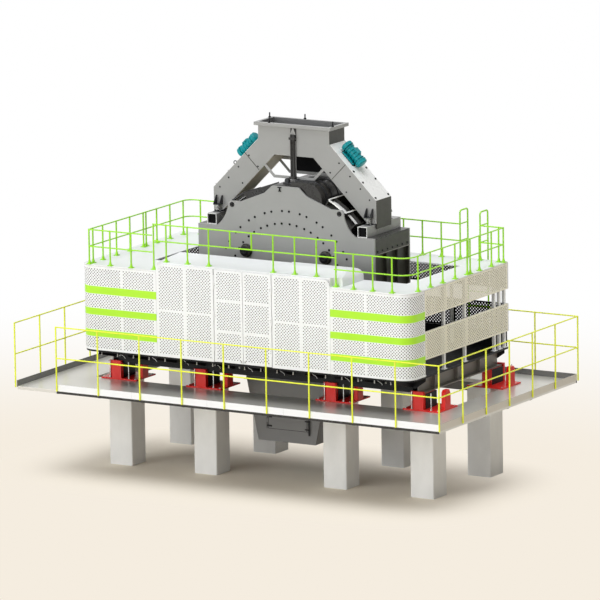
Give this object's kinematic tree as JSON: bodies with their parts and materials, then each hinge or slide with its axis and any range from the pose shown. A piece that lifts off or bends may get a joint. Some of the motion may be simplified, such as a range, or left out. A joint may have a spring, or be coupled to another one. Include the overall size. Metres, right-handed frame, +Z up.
{
  "type": "impact crusher plant",
  "caption": "Impact crusher with an arched housing and a forked vibrating feed chute, in a perforated enclosure on a railed platform of square concrete columns.",
  "frame": {"origin": "on the ground, at the middle of the platform's rail lines", "axes": "+X right along the front, +Y to the back, +Z up"},
  "size_m": [10.036, 5.776, 7.22],
  "materials": {
    "concrete": "smooth cast concrete",
    "deck_steel": "grey painted steel plate, semi gloss",
    "white_paint": "white powder coat",
    "yellow_paint": "yellow gloss paint",
    "red_paint": "red gloss paint",
    "dark_steel": "dark grey paint",
    "green_paint": "light green gloss paint",
    "grey_paint": "mid grey machine paint",
    "teal_paint": "teal gloss paint"
  },
  "bodies": {
    "root": {"columns": "concrete", "corbels": "deck_steel", "deck_frame": "deck_steel", "deck": "deck_steel", "toe_boards": "white_paint", "guard_front": "yellow_paint", "guard_back": "yellow_paint", "guard_left": "yellow_paint", "guard_right": "yellow_paint", "pedestals": "red_paint", "base_front": "dark_steel", "base_back": "dark_steel", "base_ends": "dark_steel", "base_cross": "dark_steel", "base_deck": "deck_steel", "corner_left": "white_paint", "corner_right": "white_paint", "bay_left": "white_paint", "bay_right": "white_paint", "front_posts": "white_paint", "side_panels_left": "white_paint", "side_panels_right": "white_paint", "back_panels": "white_paint", "enclosure_posts": "white_paint", "roof": "white_paint", "hood": "white_paint", "rail_front_left": "green_paint", "rail_front_right": "green_paint", "rail_centre": "green_paint", "rail_left": "green_paint", "rail_right": "green_paint", "rail_back": "green_paint", "ladder": "green_paint", "crusher_front": "grey_paint", "crusher_back": "grey_paint", "crusher_ends": "dark_steel", "crusher_casing": "grey_paint", "bosses": "dark_steel", "crest_gear": "dark_steel", "tube_beams": "grey_paint", "spring_mounts": "dark_steel", "chute_front": "grey_paint", "chute_back": "grey_paint", "chute_walls": "grey_paint", "chute_floor": "grey_paint", "chute_flange": "grey_paint", "chute_braces": "grey_paint", "chute_strut": "grey_paint", "motor_bases": "dark_steel", "motors": "teal_paint", "discharge_front": "grey_paint", "discharge_back": "grey_paint", "discharge_sides": "grey_paint"},
    "door_left": {"door_left": "white_paint"},
    "door_right": {"door_right": "white_paint"},
    "hatch": {"hatch": "grey_paint"}
  },
  "joints": [
    {"name": "door_left_hinge", "type": "hinge", "parent": "root", "child": "door_left", "pos_m": [-0.683, -2.106, 3.56], "axis": [0, 0, -1], "range_deg": [0, 95]},
    {"name": "door_right_hinge", "type": "hinge", "parent": "root", "child": "door_right", "pos_m": [0.683, -2.106, 3.56], "axis": [0, 0, 1], "range_deg": [0, 95]},
    {"name": "hatch_hinge", "type": "hinge", "parent": "root", "child": "hatch", "pos_m": [-0.47, -0.44, 1.095], "axis": [0, 0, -1], "range_deg": [0, 110]}
  ]
}
